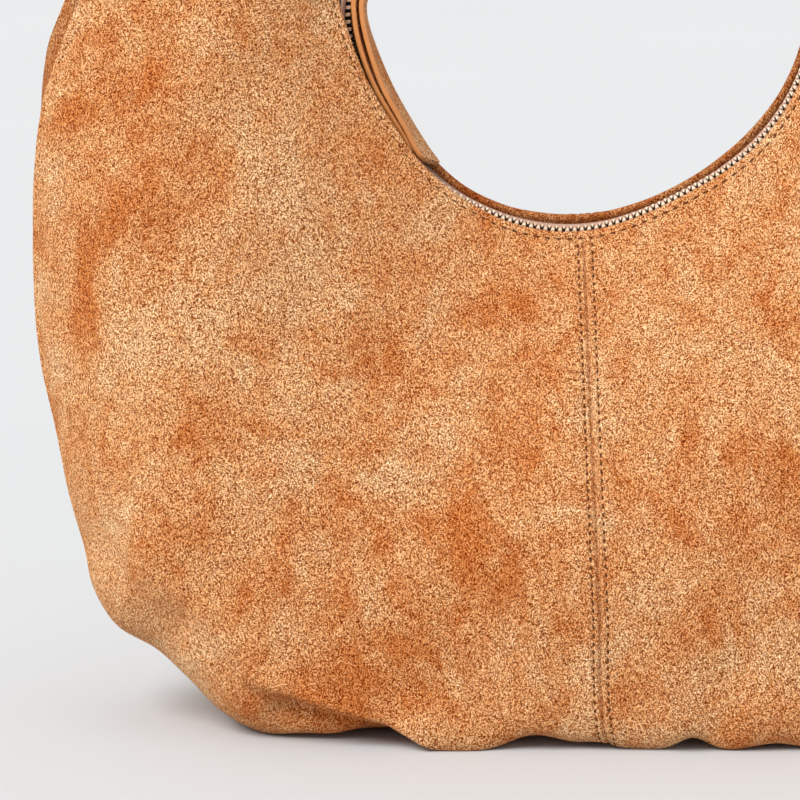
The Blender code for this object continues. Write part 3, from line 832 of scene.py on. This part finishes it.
def add_lining():
    """The loose lining and its slip pocket, which hang inside the suede."""
    for word, face in FACES:
        u, v = np.meshgrid(np.linspace(-0.78, 0.78, 90), np.linspace(0.09, 0.95, 60), indexing="ij")
        piece = cloth_piece(f"cotton_lining_{word}", face, u, v, SUEDE + LINING_EASE)
        finish_piece(piece, "bag", "lining", f"lining_{word}")
    u, v = np.meshgrid(np.linspace(-0.21, 0.21, 40), np.linspace(0.15, 0.55, 30), indexing="ij")
    piece = cloth_piece("cotton_slip_pocket", 1, u, v, SUEDE + LINING_EASE + POCKET_EASE)
    finish_piece(piece, "bag", "lining", "slip_pocket")


def cloth_piece(name, face, u, v, depth):
    """Loose cotton a little way inside one face, clear of its folds, the floor and the other face."""
    points = body_points(face, u, v)
    normals = body_normals(face, u, v)
    ripple = 0.8 * MM * wobble(points, 30 * MM, 11 + face)
    sunk = np.maximum(-folds(face, points), 0.0)
    lift = base_lift(face, points)
    points = points - normals * (depth + np.abs(ripple) + sunk)[..., None]
    points[..., 2] = np.maximum(points[..., 2], SUEDE + 1.2 * MM) + lift
    points[..., 1] = face * np.maximum(face * points[..., 1], 0.4 * MM)
    return thick_sheet(name, points, normals, COTTON, [LINING_LOOK])


# ---------------------------------------------------------------- the zip


def degrees_of(length):
    """The turn along the chain for a length of it."""
    return math.degrees(length / ZIP_RADIUS)


def add_tapes():
    """The woven tapes, from the teeth's feet to the suede's inside."""
    turns = np.linspace(-TAPE_END_DEG, TAPE_END_DEG, 205)
    thick = TAPE_THICK / MM
    for word, face in FACES:
        far = smooth_table(RIM_DEG, RIM_SIDE, turns) - SUEDE / MM - 0.15
        far = far - (0.1 if face > 0 else 0.0)
        rim_lift = smooth_table(RIM_DEG, RIM_FRONT_LIFT if face < 0 else RIM_BACK_LIFT, turns)
        rise = 0.42 * np.maximum(rim_lift, 0.5)
        rings = []
        for turn, reach, up in zip(turns, far, rise):
            top = ((0.2, -0.2), (1.3, 0.0), (2.3, 0.05), (0.5 * (2.3 + reach), 0.3 * up), (reach, up))
            corners = [(side, lift - thick) for side, lift in top[:1]] + list(top)
            corners += [(side, lift - thick) for side, lift in top[:0:-1]]
            rings.append([on_zip(turn, face * side * MM, lift * MM) for side, lift in corners])
        piece = sweep(f"tape_{word}", rings, [TAPE_LOOK, TAPE_PAINTED_SHADE_LOOK], painted_shade_side)
        finish_piece(piece, "bag", "zip_tape", f"zip_tape_{word}")


def painted_shade_side(side):
    """1 for the sides of a tape's section inside the teeth's feet, which are near black as painted shade."""
    return int(side in (0, 1, 8, 9))


# Outline of a tooth from above, as (side, run) in millimetres: a broad foot that narrows to a blunt head
# between its neighbours. The foot and the corners beside it have the pale metal, and the flanks have painted
# shade.
TOOTH_OUTLINE = (
    (1.95, 0.44), (1.95, -0.44), (1.80, -0.68), (-0.60, -0.14), (-0.72, 0.0), (-0.60, 0.14), (1.80, 0.68),
)
TOOTH_FOOT = (0, 1, len(TOOTH_OUTLINE) - 1)


def add_teeth():
    """Two rows of scoop-headed teeth, half a pitch apart, clamped on the tapes' inner edges."""
    pitch = degrees_of(TOOTH_PITCH)
    last = TAPE_END_DEG - 5.2
    count = len(TOOTH_OUTLINE)
    sides, runs = np.array(TOOTH_OUTLINE).T
    for word, face in FACES:
        shift = pitch / 2 if face > 0 else 0.0
        points, faces, looks = [], [], []
        for centre in np.arange(-last + shift, last, pitch):
            base = count * len(points)
            for lift in (ROW_LOW, ROW_LOW + ROW_HEIGHT):
                points.append(on_zip(centre + degrees_of(MM) * runs, face * sides * MM, lift))
            faces.append([base + k for k in range(count)])
            faces.append([base + count + k for k in range(count)][::-1])
            looks += [0, 0]
            for k in range(count):
                m = (k + 1) % count
                faces.append([base + k, base + count + k, base + count + m, base + m])
                # The flanks take the metal with painted shade, so the gaps between teeth read dark.
                looks.append(0 if k in TOOTH_FOOT else 1)
        metals = [METAL_LOOK, FLANK_PAINTED_SHADE_LOOK]
        piece = add_mesh(f"teeth_{word}", np.vstack(points), faces, metals, smooth=False, look_index=looks)
        face_outwards(piece)
        soften(piece, 0.14 * MM)
        finish_piece(piece, "bag", "zip_metal", f"zip_teeth_{word}")


def soften(piece, width, segments=2):
    """Rounds a piece's edges."""
    bevel = piece.modifiers.new("soft_edges", "BEVEL")
    bevel.width = width
    bevel.segments = segments
    bevel.limit_method = "ANGLE"
    bevel.angle_limit = math.radians(35)
    bevel.harden_normals = False


def add_zip_metal():
    """The small parts keep their CAD shapes, and all but the ring have their edges softened."""
    stops = ("zip_top_stop_front", "zip_top_stop_back", "zip_bottom_stop")
    for name in ("zip_slider", "slider_bridge", *stops):
        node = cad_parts[name]
        paint(node, METAL_LOOK)
        soften(node, 0.25 * MM, 3)
    paint(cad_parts["pull_ring"], METAL_LOOK)
    for side, _ in HANDS:
        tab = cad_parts[f"zip_end_tab_{side}"]
        paint(tab, SUEDE_LOOK)
        soften(tab, 0.5 * MM, 3)


def paint(node, look):
    """Gives a CAD node one look."""
    if not node.material_slots:
        node.data.materials.append(look)
    for held in node.material_slots:
        held.material = look


# ---------------------------------------------------------------- the pull

PULL_START_DEG = SLIDER_REST_DEG + 5.6
PULL_TIP_DEG = -42.0
PULL_UNDER_TIP_DEG = -45.0
PULL_HALF_WIDTH = 6.0 * MM
PULL_LAYER = 2.0 * MM
RING_LIFT = 5.45 * MM
RING_CLEAR = 0.95 * MM
# Along the pull: degrees, lift of the upper layer's middle, the gap below it and its back edge's drop.
PULL_DEG = (-90.9, -88, -84, -80, -75, -65, -55, -50, -46, -43, -40)
PULL_LIFT = (7.4, 4.7, 4.0, 4.3, 4.9, 5.2, 4.75, 3.8, 2.45, 1.5, 0.9)
PULL_GAP = (1.9, 1.2, 1.0, 1.2, 1.3, 0.9, 0.5, 0.3, 0.2, 0.15, 0.15)
PULL_DROP = (0.0, 2.6, 3.4, 3.2, 2.6, 1.8, 2.3, 2.6, 2.3, 2.1, 2.1)
PULL_SKEW = 7.0 * MM
PULL_CORNER = 2.0 * MM


def pull_spine():
    """The strip from its upper tip round the ring to its lower tip: arc length and lift, in metres."""
    arc_of = math.radians(1) * ZIP_RADIUS
    upper = np.linspace(PULL_TIP_DEG, PULL_START_DEG, 120)
    lower = np.linspace(PULL_START_DEG, PULL_UNDER_TIP_DEG, 120)
    radius = RING_CLEAR + PULL_LAYER / 2
    turn = np.linspace(math.pi / 2, 3 * math.pi / 2, 17)[1:-1]
    under = smooth_table(PULL_DEG, PULL_LIFT, lower) - smooth_table(PULL_DEG, PULL_GAP, lower)
    under = under * MM - PULL_LAYER
    arc = np.concatenate([upper * arc_of, PULL_START_DEG * arc_of + radius * np.cos(turn), lower * arc_of])
    lift = np.concatenate([
        smooth_table(PULL_DEG, PULL_LIFT, upper) * MM, RING_LIFT + radius * np.sin(turn), under,
    ])
    return evenly(np.column_stack([arc, lift]), np.linspace(0, 1, 260))


def on_pull(arc, side, lift):
    """A point of the pull: its back edge hangs lower, and its tip is cut a little askew."""
    degrees = np.degrees(arc / ZIP_RADIUS)
    drop = smooth_table(PULL_DEG, PULL_DROP, np.atleast_1d(degrees))[0] * MM
    skew = PULL_SKEW * smoothstep(PULL_START_DEG + 12, PULL_TIP_DEG, degrees)
    across = side / (2 * PULL_HALF_WIDTH)
    return on_zip(math.degrees((arc + skew * across) / ZIP_RADIUS), side, lift - drop * across, wander=False)


def pull_section(half_width):
    """Outline of one layer, as (side, through), with softly rounded edges."""
    corner = 0.55 * MM
    section = []
    for k, (across, through) in enumerate(((1, 1), (-1, 1), (-1, -1), (1, -1))):
        for angle in np.linspace(k * math.pi / 2, (k + 1) * math.pi / 2, 5):
            section.append((
                across * (half_width - corner) + corner * math.cos(angle),
                through * (PULL_LAYER / 2 - corner) + corner * math.sin(angle),
            ))
    return section


def painted_side(side):
    """0 for the flat faces of the pull's section, its fifth and fifteenth sides, and 1 for the others."""
    return 0 if side in (4, 14) else 1


def add_pull():
    """One strip folded double round the ring, with painted edges, and stitches between its two layers."""
    spine = pull_spine()
    tangent = np.gradient(spine, axis=0)
    tangent /= np.linalg.norm(tangent, axis=1, keepdims=True)
    length = np.concatenate([[0.0], np.cumsum(np.linalg.norm(np.diff(spine, axis=0), axis=1))])
    from_end = np.minimum(length, length[-1] - length)
    rings = []
    for (arc, lift), (along, up), near in zip(spine, tangent, from_end):
        short = max(PULL_CORNER - near, 0.0)
        half_width = PULL_HALF_WIDTH - PULL_CORNER + math.sqrt(PULL_CORNER**2 - short**2)
        section = pull_section(half_width)
        rings.append([on_pull(arc - up * out, side, lift + along * out) for side, out in section])
    piece = sweep("suede_pull", rings, [SUEDE_LOOK, EDGE_LOOK], painted_side)
    finish_piece(piece, "pull", "pull_suede", "pull_strip")
    degrees = np.linspace(PULL_START_DEG + 4, PULL_UNDER_TIP_DEG - 2, 200)
    run = np.radians(degrees) * ZIP_RADIUS
    top = smooth_table(PULL_DEG, PULL_LIFT, degrees) - smooth_table(PULL_DEG, PULL_GAP, degrees)
    lift = top * MM - PULL_LAYER / 2
    side = -PULL_HALF_WIDTH + 0.75 * MM
    line = np.array([on_pull(arc, side, up) for arc, up in zip(run, lift)])
    above = np.array([on_pull(arc, side, up + MM) for arc, up in zip(run, lift)])
    stitches("stitches_pull", [(line, (above - line) / MM)], "pull", "pull_suede")


# ---------------------------------------------------------------- the strap

STRAP_HALF_WIDTH = (HORN_OUTER_X - HORN_INNER_X) / 2
STRAP_CENTRE_X = (HORN_OUTER_X + HORN_INNER_X) / 2
# How far above the horns' tips the strap folds.
STRAP_CLEAR = 5.4 * MM
STRAP_FOLD_Z = HORN_TOP + STRAP_CLEAR
STRAP_RISE = STRAP_BOX[1][2] - STRAP_FOLD_Z - STRAP_HALF_WIDTH
STRAP_HALF_THICK = 3.6 * MM
# How far its ends reach down into the horns, and in how many steps.
STRAP_TUCK = 9 * MM
STRAP_END_STEPS = 13


def strap_path():
    """Centres and outward directions along the strap, from inside one horn to inside the other."""
    path = []
    tucked = np.linspace(-STRAP_TUCK - STRAP_CLEAR, 0, STRAP_END_STEPS + 1)[:-1]
    for z in tucked:
        path.append((Vector((-STRAP_CENTRE_X, 0, STRAP_FOLD_Z + z)), Vector((-1, 0, 0))))
    for t in np.linspace(0, math.pi, 150):
        centre = Vector((-STRAP_CENTRE_X * math.cos(t), 0, STRAP_FOLD_Z + STRAP_RISE * math.sin(t)))
        outward = Vector((-STRAP_RISE * math.cos(t), 0, STRAP_CENTRE_X * math.sin(t))).normalized()
        path.append((centre, outward))
    for z in tucked[::-1]:
        path.append((Vector((STRAP_CENTRE_X, 0, STRAP_FOLD_Z + z)), Vector((1, 0, 0))))
    return path


def strap_full(centre):
    """How thick the strap is: flat where it folds, full along its arch."""
    return 0.62 + 0.38 * float(smoothstep(STRAP_FOLD_Z + 4 * MM, STRAP_FOLD_Z + 40 * MM, centre.z))


def strap_section(thin):
    """Half of the strap's outline, as (width, depth): a padded face between two turned edges."""
    turns = np.linspace(0, math.pi, 25)
    width = (STRAP_HALF_WIDTH - thin) * np.sign(np.cos(turns)) * np.abs(np.cos(turns)) ** 0.5
    depth = 0.15 * MM + (STRAP_HALF_THICK - thin) * np.abs(np.sin(turns)) ** 0.45
    beyond = np.abs(width) > STRAP_HALF_WIDTH - 4 * MM
    crown = 0.88 + 0.12 * np.cos(width / STRAP_HALF_WIDTH * math.pi / 2)
    return np.column_stack([width, depth * np.where(beyond, 0.9, crown)])


def on_strap(place, face, width, depth):
    """A point beside one (centre, outward direction) of the strap's path."""
    centre, outward = place
    forward = np.array((0, face * (depth * strap_full(centre)), 0))
    return np.array(centre) + np.array(outward) * width + forward


def add_strap():
    """The strap's two suede faces, each with a row of stitches along both edges, over the webbing."""
    path = strap_path()
    outside = strap_section(0.0)
    section = np.vstack([outside, strap_section(SUEDE)[::-1]])
    reach = STRAP_HALF_WIDTH - 2.6 * MM
    depth = float(np.interp(reach, outside[::-1, 0], outside[::-1, 1]))
    sewn = path[STRAP_END_STEPS - 1:1 - STRAP_END_STEPS]
    for word, face in FACES:
        rings = [[on_strap(place, face, across, through) for across, through in section] for place in path]
        piece = sweep(f"suede_strap_{word}", rings, [SUEDE_LOOK])
        finish_piece(piece, None, "suede", f"strap_{word}")
        bend(piece)
        rows = []
        for edge in (-1, 1):
            line = np.array([on_strap(place, face, edge * reach, depth) for place in sewn])
            rows.append((line, np.tile((0.0, float(face), 0.0), (len(line), 1))))
        thread = stitches(f"stitches_strap_{word}", rows, None)
        bend(thread)
    paint(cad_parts["strap_core"], WEBBING_LOOK)


def bend(piece):
    """Bakes a piece's transform into its mesh."""
    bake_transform(piece)


# ---------------------------------------------------------------- camera, floor and light


def add_camera():
    """A long lens in front of the bag and a little above it."""
    data = bpy.data.cameras.new("camera")
    data.sensor_width = 36.0
    data.lens = 210.4
    data.clip_start = 0.05
    data.clip_end = 60.0
    camera = bpy.data.objects.new("camera", data)
    camera.location = (0.0, -1.70, 0.42)
    camera.rotation_euler = (math.radians(90 - 10.03), 0.0, math.radians(2.28))
    bpy.context.scene.collection.objects.link(camera)
    bpy.context.scene.camera = camera


def add_floor():
    """A wide, pale, dull floor."""
    n = Nodes("pale_floor", 0.75)
    n.colour(n.ramp(n.noise(3, 3), ((0.3, (0.547, 0.555, 0.561)), (0.7, (0.557, 0.565, 0.571)))))
    n.shader.inputs["Specular IOR Level"].default_value = 0.1
    reach = 14.0
    corners = [(-reach, -reach, 0), (reach, -reach, 0), (reach, reach, 0), (-reach, reach, 0)]
    floor = add_mesh("floor", corners, [(0, 1, 2, 3)], [n.material], smooth=False)


def add_sun(name, source, angle, power):
    """A soft, even light from the direction of source."""
    data = bpy.data.lights.new(name, "SUN")
    data.energy = power
    data.angle = math.radians(angle)
    light = bpy.data.objects.new(name, data)
    light.rotation_mode = "QUATERNION"
    light.rotation_quaternion = Vector(source).to_track_quat("Z", "Y")
    bpy.context.scene.collection.objects.link(light)


def add_light():
    """An even white studio: as bright near as far on the floor, with a soft key from the left."""
    world = bpy.data.worlds.new("studio")
    world.use_nodes = True
    world.node_tree.nodes["Background"].inputs["Color"].default_value = (1.0, 1.0, 1.0, 1.0)
    world.node_tree.nodes["Background"].inputs["Strength"].default_value = 0.85
    bpy.context.scene.world = world
    add_sun("key", (-0.55, -0.55, 0.80), 34, 2.87)
    bpy.context.scene.view_settings.view_transform = "Standard"


def main():
    add_camera()
    add_floor()
    add_light()
    add_body()
    add_lining()
    add_tapes()
    add_teeth()
    add_zip_metal()
    add_pull()
    add_strap()


main()
